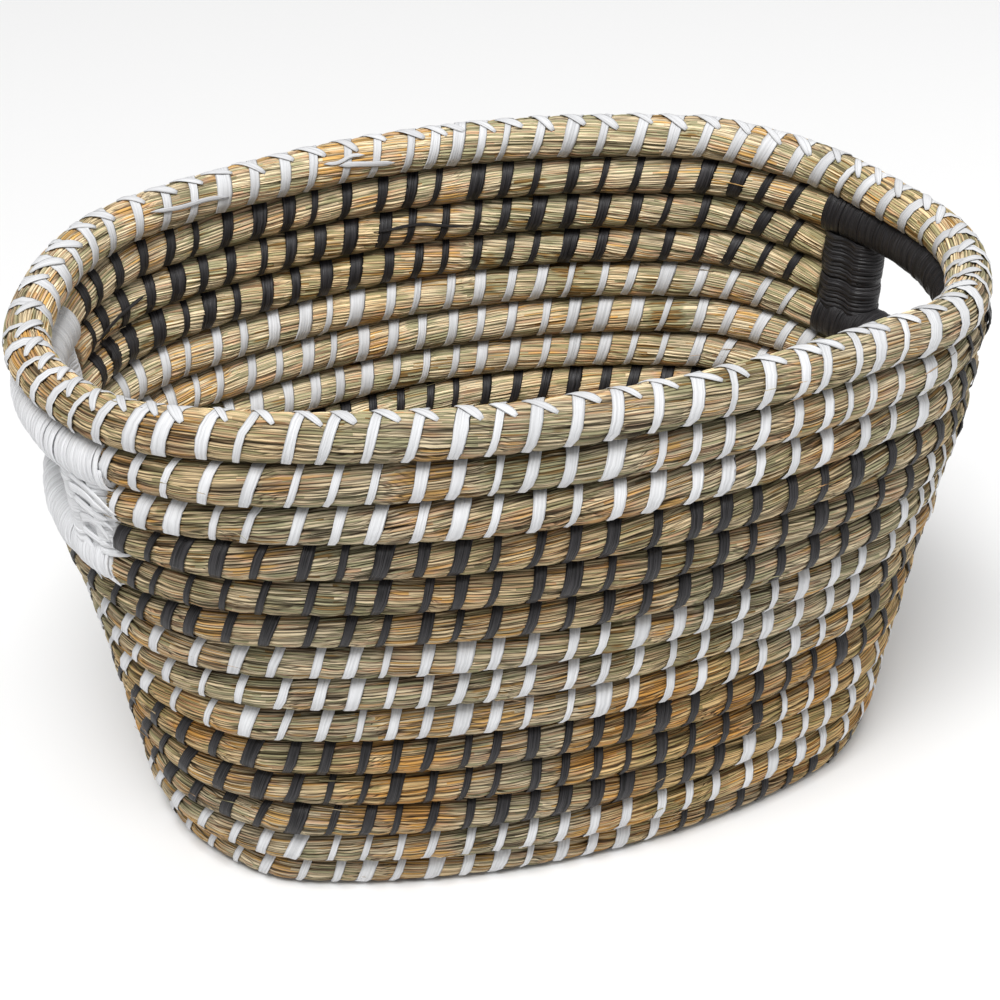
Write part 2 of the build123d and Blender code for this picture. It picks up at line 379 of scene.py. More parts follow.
def grid_parts(points, uv, wrap_rows=False, wrap_columns=False, caps=False):
    """Vertices, faces and face UVs of one or many equal grids.

    points has the shape (pieces, rows, columns, 3) and uv (pieces, rows + 1, columns + 1, 2), so
    that a pattern runs past the seam. Caps close a tube's two open ends with one face each.
    """
    pieces, rows, columns = points.shape[:3]
    verts, places = grid_faces(rows, columns, wrap_rows, wrap_columns)
    shift = np.arange(pieces)[:, None, None]
    faces = (verts[None] + shift * rows * columns).reshape(-1, 4)
    face_uv = uv.reshape(pieces, -1, 2)[:, places].reshape(-1, 2)
    loops, sizes, loop_uv = [faces.ravel()], [np.full(len(faces), 4)], [face_uv]
    if caps:
        ring = np.arange(columns)
        first = (ring[None] + shift[:, 0] * rows * columns).ravel()
        last = (ring[None, ::-1] + (rows - 1) * columns + shift[:, 0] * rows * columns).ravel()
        loops += [first, last]
        sizes.append(np.full(2 * pieces, columns))
        loop_uv += [uv[:, 0, :columns].reshape(-1, 2),
                    uv[:, rows - 1, :columns][:, ::-1].reshape(-1, 2)]
    columns = (np.concatenate(column) for column in (loops, sizes, loop_uv))
    return points.reshape(-1, 3), *columns


def make_piece(name, parts, look, nodes):
    """One finished object from grid parts: smooth, with its UV map, riding on the basket."""
    starts = np.cumsum([0] + [len(part[0]) for part in parts])
    parts = [(points, corners + start, *rest)
             for start, (points, corners, *rest) in zip(starts, parts)]
    verts, loops, sizes, uvs = (np.concatenate(column) for column in zip(*parts))
    mesh = bpy.data.meshes.new(name)
    mesh.vertices.add(len(verts))
    mesh.vertices.foreach_set("co", verts.astype(np.float32).ravel())
    mesh.loops.add(len(loops))
    mesh.loops.foreach_set("vertex_index", loops.astype(np.int32))
    mesh.polygons.add(len(sizes))
    mesh.polygons.foreach_set("loop_start", (np.cumsum(sizes) - sizes).astype(np.int32))
    mesh.polygons.foreach_set("loop_total", sizes.astype(np.int32))
    mesh.polygons.foreach_set("use_smooth", np.ones(len(sizes), bool))
    layer = mesh.uv_layers.new(name="run")
    layer.data.foreach_set("uv", uvs.astype(np.float32).ravel())
    mesh.update(calc_edges=True)
    if mesh.validate():
        raise RuntimeError(f"{name}: the mesh had faulty faces")
    mesh.materials.append(get_material(look))
    piece = bpy.data.objects.new(name, mesh)
    bpy.context.scene.collection.objects.link(piece)
    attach(piece, "root")
    if nodes:
        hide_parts(*nodes)
    return piece


# ---------------------------------------------------------------- straw bundles

def bundle_skin(oval, angle, run, stitch_run, seed, flatten=None, wide=1.0, coarse=1):
    """Surface of a straw bundle: radius as a function of the length run and the way round.

    The way round is divided among straws of uneven width. Each straw has a groove at its edge and
    a rounded back, rises and sinks along its length and meanders a little, and the whole bundle
    twists by whole turns. The radius is squeezed near each stitch and under the windings.
    """
    straw = bpy.context.scene.basket_straw
    random = np.random.default_rng(seed)
    count = straw.straws // coarse
    widths = random.uniform(0.55, 1.5, count)
    edges = np.concatenate([[0], np.cumsum(widths)]) / widths.sum() * TURN
    turns = random.choice([-1, 1])
    loop = run / run[-1] * TURN
    meander, lift = [], []
    for _ in range(count):
        phase = random.uniform(0, TURN, 6)
        cycles = random.integers([3, 7, 13, 4, 9, 19], [7, 13, 22, 9, 19, 34])
        size = random.uniform(0.3, 1.0, 6)
        waving = [size[k] * np.sin(cycles[k] * loop + phase[k]) for k in range(6)]
        meander.append((waving[0] + waving[1] + 0.6 * waving[2]) / 2.2)
        lift.append((waving[3] + waving[4] + 0.9 * waving[5]) / 1.8)
    meander = np.stack(meander, 1) * TURN / count * 0.42
    # Most straws keep the surface and some sink in for a while, which opens a gap; the straw's
    # colour adds painted shade there from its depth.
    lift = np.stack(lift, 1) + random.normal(0, 0.25, count)
    lift = -np.clip(lift, 0, 2) * 1.9 * straw.straw_lift
    # Columns: three points to a straw. The groove point moves with the straw it opens.
    way = (edges[:-1, None] + np.diff(edges)[:, None] * STRAW_PLACES).ravel()
    way = way[None] + turns * loop[:, None] + np.repeat(meander, len(STRAW_PLACES), 1)
    groove = straw.straw_relief * random.uniform(0.6, 1.3, count)
    relief = groove[:, None] * STRAW_HEIGHTS
    skin = relief.ravel()[None] + np.repeat(lift, len(STRAW_PLACES), 1)
    depth = np.clip(-skin / SUNK, 0, 1)
    radius = oval.radius * (1 + 0.012 * waves(loop, seed + 5, 3, 14))[:, None] + skin
    if oval.number in (GRIP_ROUND, SILL_ROUND):
        # The windings squeeze the bundle they cover; the white sill stops short at its front end.
        limit = np.radians(WRAP_ANGLE - SQUEEZE_MARGIN)
        short = np.radians(SHORT_SILL) if oval.number == SILL_ROUND else 0.0
        free = (angle > np.pi + limit - short) & (angle < 1.5 * np.pi)
        radius -= WINDING_SQUEEZE * (near_an_end(angle, limit) & ~free)[:, None]
    if len(stitch_run):
        drift = (way % TURN - np.pi / 2 + np.pi) % TURN - np.pi
        local = run[:, None] - drift / TURN * bpy.context.scene.basket_raffia.spacing
        ends = np.concatenate([[-1.0], stitch_run, [run[-1] + 1.0]])
        k = np.clip(np.searchsorted(ends, local), 1, len(ends) - 1)
        away = np.minimum(local - ends[k - 1], ends[k] - local)
        radius -= straw.cinch * np.exp(-(away / CINCH_REACH) ** 2)
    point, _, outward, up = frame_at(oval, angle)
    surface = (point[:, None] + radius[..., None] * (
        wide * np.cos(way)[..., None] * outward[:, None] + np.sin(way)[..., None] * up[:, None]))
    if flatten is not None:
        surface[..., 2] = np.maximum(surface[..., 2], flatten)
    # Painted shade where a bundle rests on the one below and, more weakly, under the one above.
    below = np.cos(way + np.pi / 2 + oval.lean)
    above = np.cos(way - np.pi / 2 + oval.lean)
    pressed = np.clip((below - 0.45) / 0.5, 0, 1) + 0.4 * np.clip((above - 0.75) / 0.25, 0, 1)
    if oval.number == 1:
        pressed = np.clip((below - 0.45) / 0.5, 0, 1)
    return surface, count, np.stack([depth, 0.5 - 0.5 * np.cos(way), pressed], -1)


def bundle_uv(run, rows, count, offset):
    """UV of a bundle: metres along it, and straws counted round it."""
    along = np.append(run, 2 * run[-1] - run[-2])[:rows + 1]
    around = np.arange(count * len(STRAW_PLACES) + 1)
    straw = around // len(STRAW_PLACES) + STRAW_PLACES[around % len(STRAW_PLACES)]
    uv = np.stack(np.meshgrid(along + offset, straw, indexing="ij"), -1)
    return uv[None]


def make_bundle(name, oval, span, stitches, node, look, seed, flatten=None, wide=1.0, coarse=1):
    """One length of bundle between two directions, closed on itself when it is a whole round."""
    straw = bpy.context.scene.basket_straw
    angles, length = track(oval)
    low, high = span
    whole = high - low > TURN - 1e-6
    start, stop = np.interp([low, high], angles, length)
    rows = max(24, int((stop - start) / (straw.step * coarse)))
    run = np.linspace(0, stop - start, rows + 1 if whole else rows)
    angle = np.interp(run + start, length, angles)
    own = np.interp(stitches % TURN, angles, length) - start
    own = own[(own > 0) & (own < stop - start)]
    surface, count, depth = bundle_skin(oval, angle, run, np.sort(own), seed, flatten, wide, coarse)
    if whole:
        surface, depth = surface[:-1], depth[:-1]
    uv = bundle_uv(run, len(surface), count, seed * 3.7 % 10)
    parts = grid_parts(surface[None], uv, wrap_rows=whole, wrap_columns=True, caps=not whole)
    piece = make_piece(name, [parts], look, [node])
    store_depth(piece, depth)


def store_depth(piece, depth):
    """Keeps how deep each point of a bundle lies between its straws, how far round to the inside of
    the basket and how near to the next bundle, which the straw's colour turns into painted shade
    and painted light."""
    for name, values in zip(("depth", "inner", "pressed"), np.moveaxis(depth, -1, 0)):
        layer = piece.data.attributes.new(name, "FLOAT", "POINT")
        layer.data.foreach_set("value", values.astype(np.float32).ravel())


# ---------------------------------------------------------------- raffia strips

def ribbon(centre, normal, width, thickness, creases):
    """Closed ribbons along paths: a flat section carried square to the path.

    centre and normal have the shape (pieces, rows, 3), width (pieces, rows) and creases
    (pieces, 4). The section is a loop of five points: four across the top, each raised by its own
    crease, and one in the middle of the underside.
    """
    ahead = unit(np.gradient(centre, axis=1), 1e-12)
    across = unit(np.cross(normal, ahead), 1e-12)
    normal = np.cross(ahead, across)
    side = np.array([-0.5, -0.36, 0.36, 0.5, 0.0])
    rise = np.concatenate([creases, np.full((len(creases), 1), -0.4)], 1)
    offset = (side[None, None, :, None] * width[:, :, None, None] * across[:, :, None]
              + rise[:, None, :, None] * thickness * normal[:, :, None])
    points = centre[:, :, None] + offset
    rows = centre.shape[1]
    length = np.linalg.norm(np.diff(centre, axis=1), axis=-1)
    run = np.concatenate([np.zeros((len(centre), 1)), np.cumsum(length, 1)], 1)
    run = np.concatenate([run, run[:, -1:]], 1)
    way = np.array([0.0, 0.14, 0.86, 1.0, 1.5, 2.0])
    uv = np.empty((len(centre), rows + 1, len(way), 2))
    uv[..., 0] = run[:, :, None] + np.arange(len(centre))[:, None, None] * 0.173
    uv[..., 1] = way[None, None] + np.arange(len(centre))[:, None, None] * 3.0
    return grid_parts(points, uv, wrap_columns=True, caps=True)


def creased_strips(centre, normal, width, random, middle, spread=0.2):
    """Ribbons as thick as the raffia, the middle of each raised unevenly above its edges."""
    creases = np.array([0.1, middle, middle, 0.1]) + random.normal(0, spread, (len(centre), 4))
    return ribbon(centre, normal, width, bpy.context.scene.basket_raffia.thickness, creases)


def round_the_bundle(oval, angle, way, run, radius, wide=1.0, lowest=None):
    """Points and outward normals on an oval round a bundle.

    angle is the direction of each piece, way the angle round the bundle from outwards over the
    top, run how far along the bundle each point is moved, all of the shape (pieces, rows).
    """
    angles, length = track(oval)
    base = np.interp(angle % TURN, angles, length)
    place = np.interp((base[:, None] + run) % length[-1], length, angles)
    point, _, outward, up = frame_at(oval, place)
    across, rise = np.cos(way)[..., None], np.sin(way)[..., None]
    point = point + radius[..., None] * (wide * across * outward + rise * up)
    normal = unit(across * outward + wide * rise * up)
    if lowest is not None:
        point[..., 2] = np.maximum(point[..., 2], lowest)
    return point, normal


def stitch_strips(oval, angle, seed, low=-68.0, high=246.0, wide=1.0, lowest=None):
    """Stitches of one round: each a strip that climbs the outside, crosses the top and goes down
    the inside, moving along the bundle by one spacing in a full turn, with tapered tucked ends."""
    raffia = bpy.context.scene.basket_raffia
    random = np.random.default_rng(seed)
    count, rows = len(angle), 12
    low = np.radians(low + random.normal(0, 4, count)) - oval.lean
    high = np.radians(high + random.normal(0, 4, count)) - oval.lean
    t = np.linspace(0, 1, rows)
    way = low[:, None] + (high - low)[:, None] * t
    away = (way - np.pi / 2) / np.radians(155)
    slant = raffia.spacing * random.uniform(0.85, 1.25, (count, 1))
    hook = random.uniform(0.4, 2.2, (count, 1)) * MM
    run = slant * (way - np.pi / 2) / TURN + hook * away**3
    size = raffia.width * np.exp(random.normal(0, raffia.spread, (count, 1)))
    size = np.clip(size, NARROWEST, WIDEST)
    width = size * (1 - random.uniform(0.1, 0.4, (count, 1)) * np.clip(np.abs(away), 0, 1.1)**2.5)
    ripple = random.uniform(2, 5, (count, 1)) * way + random.uniform(0, 6, (count, 1))
    width *= 1 + 0.05 * np.sin(ripple)
    tuck = np.clip((np.abs(away) - 0.8) / 0.2, 0, 1)
    radius = oval.radius - 0.1 * MM + random.uniform(0, 0.3, (count, 1)) * MM - 1.6 * MM * tuck**2
    centre, normal = round_the_bundle(oval, angle, way, run, radius, wide, lowest)
    return creased_strips(centre, normal, width, random, 0.5, 0.12)


def crossing_strips(oval, angle, seed):
    """Short strips laid the other way over the crest of the rim, pointed at both ends."""
    raffia = bpy.context.scene.basket_raffia
    random = np.random.default_rng(seed)
    count, rows = len(angle), 9
    low = np.radians(64 + random.normal(0, 6, count))
    high = np.radians(124 + random.normal(0, 8, count))
    t = np.linspace(0, 1, rows)
    way = low[:, None] + (high - low)[:, None] * t
    slant = raffia.spacing * random.uniform(0.6, 0.9, (count, 1))
    run = slant * (0.5 - t)[None] + random.normal(0.12, 0.06, (count, 1)) * raffia.spacing
    size = raffia.width * random.uniform(0.7, 1.1, (count, 1))
    width = size * (0.3 + 0.7 * np.sin(np.pi * np.clip(t, 0.02, 0.98)) ** 0.5)
    lift = 0.55 * MM - 0.7 * MM * (2 * np.abs(t - 0.5)) ** 3
    radius = np.repeat((oval.radius + lift)[None], count, 0)
    centre, normal = round_the_bundle(oval, angle, way, run, radius)
    return creased_strips(centre, normal, width, random, 0.6)


def laid_strips(oval, strips, seed):
    """Loose ends of strips left lying along a bundle.

    Each strip is (first direction, last direction, way round at both ends, width), in degrees and
    millimetres. It wanders a little, lies just above the straw and is pointed at both ends.
    """
    random = np.random.default_rng(seed)
    table = np.array(strips, float)
    count, t = len(table), np.linspace(0, 1, 26)
    start, stop = np.radians(table[:, :1]), np.radians(table[:, 1:2])
    angles, length = track(oval)
    first = np.interp(start % TURN, angles, length)
    last = first + (stop - start) / TURN * length[-1]
    wander = random.uniform(-0.10, 0.10, (count, 1)) * np.sin(
        t * random.uniform(5, 9, (count, 1)) + random.uniform(0, 6, (count, 1)))
    way = np.radians(table[:, 2:3] + (table[:, 3:4] - table[:, 2:3]) * t) + wander
    radius = oval.radius + 0.8 * MM * np.sin(np.pi * t) ** 0.3 + np.zeros((count, 1))
    width = table[:, 4:5] * MM * np.clip(np.sin(np.pi * np.clip(t, 0.01, 0.99)) * 2.2, 0, 1) ** 0.8
    centre, normal = round_the_bundle(oval, start[:, 0], way, (last - first) * t, radius)
    return creased_strips(centre, normal, np.maximum(width, 0.25 * MM), random, 0.6)


# ---------------------------------------------------------------- windings of the hand openings

def round_path(oval, start, stop, shift):
    """Path along a bundle between two directions, moved up by a shift: point, side and out."""
    def path(share):
        point, _, outward, up = frame_at(oval, start + share * (stop - start))
        return point + shift * up, outward, up
    return path


def post_path(upper, lower, angle, inset):
    """Path of a post from the grip down to the sill at one direction: point, side and out."""
    def path(share):
        top, ahead, outward, _ = frame_at(upper, np.full_like(share, angle))
        foot, _, _, _ = frame_at(lower, np.full_like(share, angle))
        first = top + (foot - top) * inset
        last = foot + (top - foot) * inset
        point = first + (last - first) * share[:, None]
        return point, ahead, outward
    return path


def section(way, half_side, half_out, dent):
    """Oval section with a dent in the middle of its long faces, and its normal, both as pairs."""
    side = half_side * np.sign(np.cos(way)) * np.abs(np.cos(way)) ** 0.85
    out = half_out * np.sin(way) * (1 - dent * np.exp(-(np.cos(way) / 0.2) ** 2))
    slope_side, slope_out = np.gradient(side, way), np.gradient(out, way)
    size = np.hypot(slope_side, slope_out) + 1e-12
    return side, out, slope_out / size, -slope_side / size


def winding(path, half_side, half_out, turns, strip, seed, dent=0.0):
    """A strip wound round a core as a helix. Each turn has its own width and height and
    lies a little over the one before."""
    raffia = bpy.context.scene.basket_raffia
    random = np.random.default_rng(seed)
    rows = int(turns * ROWS_PER_TURN) + 1
    turn = np.arange(rows) / ROWS_PER_TURN
    knots = np.arange(int(turns) + 2)
    uneven = np.interp(turn, knots, random.normal(0, 0.3, len(knots)))
    lift = np.interp(turn, knots, random.uniform(0, 0.85, len(knots))) * MM
    share = np.clip((turn + uneven) / turns, 0, 1)
    way = turn * TURN
    point, side, out = path(share)
    x, y, normal_x, normal_y = section(way, half_side, half_out, dent)
    centre = point + x[:, None] * side + y[:, None] * out
    normal = normal_x[:, None] * side + normal_y[:, None] * out
    centre += lift[:, None] * normal
    width = strip * np.interp(turn, knots, random.uniform(0.8, 1.3, len(knots)))
    creases = np.array([[0.0, 1.0, 0.9, -0.1]])
    return ribbon(centre[None], normal[None], width[None], 1.3 * raffia.thickness, creases)


def core_tube(path, half_side, half_out, dent=0.0, rows=24):
    """Plain closed core under a winding: the same section carried along the path, with caps."""
    share = np.linspace(0, 1, rows)
    way = np.arange(CORE_POINTS) / CORE_POINTS * TURN
    point, side, out = path(share)
    x, y, _, _ = section(np.append(way, TURN), half_side, half_out, dent)
    points = point[:, None] + x[None, :-1, None] * side[:, None] + y[None, :-1, None] * out[:, None]
    ahead = point[1] - point[0]
    uv = np.stack(np.meshgrid(np.arange(rows + 1) * 2 * MM,
                              np.arange(CORE_POINTS + 1) / CORE_POINTS, indexing="ij"), -1)
    if np.dot(np.cross(side[0], out[0]), ahead) > 0:
        points = points[:, ::-1]
    return grid_parts(points[None], uv[None], wrap_columns=True, caps=True)


def wall_skin(rounds, angle, row, lift):
    """Point and outward normal on the outer face of the wall, at a fractional row from 1."""
    row = np.clip(row, 1, WALL_ROUNDS)
    upper = np.clip(np.floor(row).astype(int), 1, WALL_ROUNDS - 1)
    lines = np.stack([frame_at(oval, angle)[0] for oval in rounds])
    outs = np.stack([frame_at(oval, angle)[2] for oval in rounds])
    share = (row - upper)[..., None]
    pick = np.arange(angle.size).reshape(angle.shape)
    flat = lines.reshape(len(rounds), -1, 3)
    flat_out = outs.reshape(len(rounds), -1, 3)
    point = flat[upper - 1, pick] * (1 - share) + flat[upper, pick] * share
    outward = flat_out[upper - 1, pick]
    return point + lift[..., None] * outward, outward


def fan_of_tails(rounds, tails, seed):
    """Ends of strips spread over the outside of the wall.

    Each tail is (first direction, first row, last direction, last row, width in millimetres); it
    bends a little on its way and ends in a point.
    """
    random = np.random.default_rng(seed)
    table = np.array(tails, float)
    t = np.linspace(0, 1, 14)
    bend = random.normal(0, 0.12, (len(table), 1)) * np.sin(np.pi * t)
    angle = np.radians(table[:, :1] + (table[:, 2:3] - table[:, :1]) * t)
    row = table[:, 1:2] + (table[:, 3:4] - table[:, 1:2]) * t + bend
    swell = np.abs(np.sin(np.pi * row)) * 2.2 * MM
    lift = TAIL_HEIGHT - swell + random.uniform(0, 0.8, (len(table), 1)) * MM
    centre, normal = wall_skin(rounds, angle, row, lift)
    width = table[:, 4:5] * MM * (0.35 + 0.65 * np.sin(np.pi * (0.5 + 0.5 * t)) ** 0.6)
    width = np.maximum(width * np.clip((1 - t) * 3.5, 0, 1) ** 0.6, 0.3 * MM)
    return creased_strips(centre, normal, width, random, 0.7)


# ---------------------------------------------------------------- straws that stand out

def stray_straws(rounds, count, seed):
    """Thin straws that leave the surface of a bundle: a path tangent to the bundle that lifts off
    with the square of the distance, carrying a small four-sided section that narrows."""
    random = np.random.default_rng(seed)
    parts = []
    t = np.linspace(0, 1, 7)
    for oval in rounds:
        angle = random.uniform(0, TURN, count)
        clear = ~near_an_end(angle, np.radians(WRAP_ANGLE + 8)) | (oval.number > SILL_ROUND + 1)
        angle = angle[clear]
        way = np.radians(random.uniform(-60, 240, len(angle)))[:, None] + np.zeros(7)
        each = (len(angle), 1)
        reach = random.uniform(8, 30, each) * MM * random.choice([-1, 1], each)
        rise = random.uniform(0.2, 2.4, (len(angle), 1)) ** 2 * MM
        radius = oval.radius - 0.2 * MM + rise * t**2
        way = way + random.normal(0, 0.18, (len(angle), 1)) * t
        centre, normal = round_the_bundle(oval, angle, way, reach * t, radius, lowest=LOWEST_STRAW)
        across = np.cross(normal, unit(np.gradient(centre, axis=1)))
        size = random.uniform(0.2, 0.45, (len(angle), 1)) * MM * (1 - 0.6 * t)
        turn = np.arange(4) / 4 * TURN
        offset = (np.cos(turn)[:, None] * across[:, :, None]
                  - np.sin(turn)[:, None] * normal[:, :, None])
        points = centre[:, :, None] + size[:, :, None, None] * offset
        uv = np.empty((len(angle), 8, 5, 2))
        uv[..., 0] = np.linspace(0, 0.02, 8)[None, :, None]
        uv[..., 1] = 0.3 + np.arange(5) * 0.1 + np.arange(len(angle))[:, None, None]
        parts.append(grid_parts(points, uv, wrap_columns=True, caps=True))
    return parts


# ---------------------------------------------------------------- materials

def add_node(tree, kind, inputs=None, **settings):
    """One shader node; inputs may be numbers, colours or output sockets, by name or number."""
    node = tree.nodes.new(kind)
    for key, value in settings.items():
        setattr(node, key, value)
    for key, value in (inputs or {}).items():
        if isinstance(value, bpy.types.NodeSocket):
            tree.links.new(value, node.inputs[key])
        else:
            node.inputs[key].default_value = value
    return node


def maths(tree, operation, *values, clamp=False):
    """Output of one Math node."""
    node = add_node(tree, "ShaderNodeMath", dict(enumerate(values)), operation=operation)
    node.use_clamp = clamp
    return node.outputs[0]


def ramp(tree, factor, stops):
    """Colour output of a ColorRamp whose stops are (position, colour)."""
    node = add_node(tree, "ShaderNodeValToRGB", {0: factor})
    elements = node.color_ramp.elements
    while len(elements) < len(stops):
        elements.new(0.5)
    for element, (position, colour) in zip(elements, stops):
        element.position = position
        element.color = (*colour, 1.0)
    return node.outputs[0]


def mix_colour(tree, blend, factor, first, second):
    """Colour output of a Mix node; the second colour may be a plain tuple."""
    node = add_node(tree, "ShaderNodeMix", data_type="RGBA", blend_type=blend)
    for key, value in ((0, factor), (6, first), (7, second)):
        if isinstance(value, bpy.types.NodeSocket):
            tree.links.new(value, node.inputs[key])
        else:
            node.inputs[key].default_value = value if key == 0 else (*value, 1.0)
    return node.outputs[2]


def grey_ramp(tree, factor, *stops):
    """Grey output of a ColorRamp whose stops are (position, brightness)."""
    return ramp(tree, factor, [(place, (value, value, value)) for place, value in stops])


def noise(tree, vector, scale, detail):
    return add_node(tree, "ShaderNodeTexNoise",
                    {"Vector": vector, "Scale": scale, "Detail": detail}).outputs[0]


def chance_of(tree, key, dimensions):
    """A number by chance for each key, which is a number in 1D and a vector in 2D."""
    socket = "W" if dimensions == "1D" else "Vector"
    return add_node(tree, "ShaderNodeTexWhiteNoise", {socket: key},
                    noise_dimensions=dimensions).outputs[0]


def stretched(tree, first, first_scale, second, second_scale):
    """Vector of two numbers, each with its own scale, for noise drawn out along a strand."""
    return add_node(tree, "ShaderNodeCombineXYZ", {
        0: maths(tree, "MULTIPLY", first, first_scale),
        1: maths(tree, "MULTIPLY", second, second_scale)}).outputs[0]


def stored(tree, name):
    """A value kept with the points of a bundle."""
    return add_node(tree, "ShaderNodeAttribute", attribute_name=name).outputs["Fac"]


def finish_shader(tree, shader, colour, rough, specular, bump):
    """Links the finished colour and roughness, and a bump of (strength, distance, height)."""
    tree.links.new(colour, shader.inputs["Base Color"])
    tree.links.new(rough, shader.inputs["Roughness"])
    shader.inputs["Specular IOR Level"].default_value = specular
    raised = add_node(tree, "ShaderNodeBump", dict(zip(("Strength", "Distance", "Height"), bump)))
    tree.links.new(raised.outputs[0], shader.inputs["Normal"])


def start_material(name):
    """Empty node material with its Principled shader, and the piece's run map split in two."""
    material = bpy.data.materials.new(name)
    material.use_nodes = True
    tree = material.node_tree
    shader = tree.nodes["Principled BSDF"]
    run = add_node(tree, "ShaderNodeUVMap", uv_map="run")
    parts = add_node(tree, "ShaderNodeSeparateXYZ", {0: run.outputs[0]})
    return material, tree, shader, parts.outputs[0], parts.outputs[1]


def straw_material(name, ripe):
    """Straw read from the run map: whole numbers part the straws, metres run along them.

    Each straw takes one of the straw colours by chance over its own lengths, has finer straws and
    fibres drawn along it, and is dry and brown in wide patches. Painted shade darkens it towards
    its edges, in streaks between the finer straws, where it is sunk and where its bundle meets the
    next one; painted light makes the inner face of a bundle brighter and the outer face darker.
    ripe moves the choice towards golden straws.
    """
    straw = bpy.context.scene.basket_straw
    material, tree, shader, along, count = start_material(name)
    strand = maths(tree, "FLOOR", count)
    share = maths(tree, "FRACT", count)
    own = chance_of(tree, strand, "1D")
    # Straws of one place end and are followed by others, each after its own length.
    piece = maths(tree, "FLOOR", maths(tree, "MULTIPLY_ADD", along, 21.0,
                                       maths(tree, "MULTIPLY", own, 9.0)))
    half = maths(tree, "FLOOR", maths(tree, "MULTIPLY", count, 2.0))
    key = add_node(tree, "ShaderNodeCombineXYZ", {0: half, 1: piece}).outputs[0]
    chance = chance_of(tree, key, "2D")
    place = add_node(tree, "ShaderNodeTexCoord").outputs["Object"]
    patch = noise(tree, place, 27.0, 2.0)
    pick = maths(tree, "MULTIPLY_ADD", maths(tree, "SUBTRACT", patch, 0.5), 1.7,
                 maths(tree, "MULTIPLY_ADD", chance, 0.74, 0.1))
    pick = maths(tree, "ADD", pick, ripe, clamp=True)
    pale, green, golden, pink, shade = (tuple(c) for c in (
        straw.pale, straw.green, straw.golden, straw.pink, straw.shade))
    worn = (0.72 * pale[0], 0.68 * pale[1], 0.62 * pale[2])
    old = tuple(0.45 * c for c in golden)
    colour = ramp(tree, pick, [(0.0, old), (0.07, green), (0.3, green), (0.38, pale), (0.58, pale),
                               (0.68, worn), (0.8, pink), (0.93, golden), (1.0, golden)])
    # Fibres: noise drawn out along the straw, coarse for thinner straws and fine for grain. The
    # thinner straws swing across the thicker ones.
    swing = maths(tree, "SINE", maths(tree, "MULTIPLY_ADD", along, 41.0,
                                      maths(tree, "MULTIPLY", patch, 5.0)))
    leaning = maths(tree, "MULTIPLY_ADD", swing, 1.2, count)
    fine = stretched(tree, along, 26.0, count, 4.0)
    coarse = stretched(tree, along, 19.0, leaning, 2.7)
    grain = noise(tree, fine, 2.0, 3.0)
    streak = noise(tree, coarse, 1.0, 2.0)
    light = grey_ramp(tree, grain, (0.3, 0.6), (0.5, 1.05), (0.68, 1.35))
    colour = mix_colour(tree, "MULTIPLY", 0.9, colour, light)
    inner = stored(tree, "inner")
    # The painted shade below is weaker on the inner face of a bundle: full outside, 0.6 inside.
    outer_shade_weight = maths(tree, "MULTIPLY_ADD", inner, -0.4, 1.0)
    # Painted shade: dark streaks between the thinner straws where the coarse noise is low, mixed
    # towards the shade colour and weaker on the inner face.
    painted_gap_shade = grey_ramp(tree, streak, (0.36, 1.0), (0.44, 0.6), (0.47, 0.0))
    painted_gap_shade = maths(tree, "MULTIPLY", maths(tree, "MULTIPLY", painted_gap_shade, 0.9), outer_shade_weight)
    colour = mix_colour(tree, "MIX", painted_gap_shade, colour, shade)
    # Painted shade in the grooves: each straw darkens towards its edges, some straws more than
    # others.
    edge = maths(tree, "MINIMUM", share, maths(tree, "SUBTRACT", 1.0, share))
    depth = maths(tree, "MULTIPLY_ADD", own, 0.55, 0.35)
    groove = grey_ramp(tree, edge, (0.0, 1.0), (0.1, 0.35), (0.2, 0.0))
    groove = maths(tree, "MULTIPLY", groove, depth)
    colour = mix_colour(tree, "MIX", groove, colour, shade)
    # Painted shade where a straw is sunk below its neighbours, weaker on the inner face.
    sunk = stored(tree, "depth")
    painted_sunk_shade = grey_ramp(tree, sunk, (0.1, 0.0), (0.45, 0.45), (0.75, 0.9))
    colour = mix_colour(tree, "MIX", maths(tree, "MULTIPLY", painted_sunk_shade, outer_shade_weight), colour, shade)
    # Painted light: the outer face of a bundle is shown 0.84 times as bright and the inner face up
    # to 1.35 times as bright.
    painted_inner_light = grey_ramp(tree, inner, (0.3, 0.84), (0.8, 1.35))
    colour = mix_colour(tree, "MULTIPLY", 1.0, colour, painted_inner_light)
    # Painted shade where a bundle meets the next one, down to 0.2 of the colour.
    pressed = stored(tree, "pressed")
    painted_contact_dark = grey_ramp(tree, pressed, (0.0, 1.0), (1.0, 0.2))
    colour = mix_colour(tree, "MULTIPLY", 1.0, colour, painted_contact_dark)
    sunny = noise(tree, place, 9.0, 1.0)
    gold = grey_ramp(tree, sunny, (0.46, 0.0), (0.62, 1.0))
    gold = maths(tree, "MULTIPLY", gold, 0.3 + 3.2 * ripe)
    colour = mix_colour(tree, "MULTIPLY", gold, colour, (1.08, 0.82, 0.42))
    rough = grey_ramp(tree, grain, (0.3, 0.7), (0.7, 0.52))
    height = maths(tree, "ADD", grain, maths(tree, "MULTIPLY", streak, 1.4))
    height = maths(tree, "SUBTRACT", height, maths(tree, "MULTIPLY", groove, 0.9))
    finish_shader(tree, shader, colour, rough, 0.25, (0.7, 0.5 * MM, height))
    return material


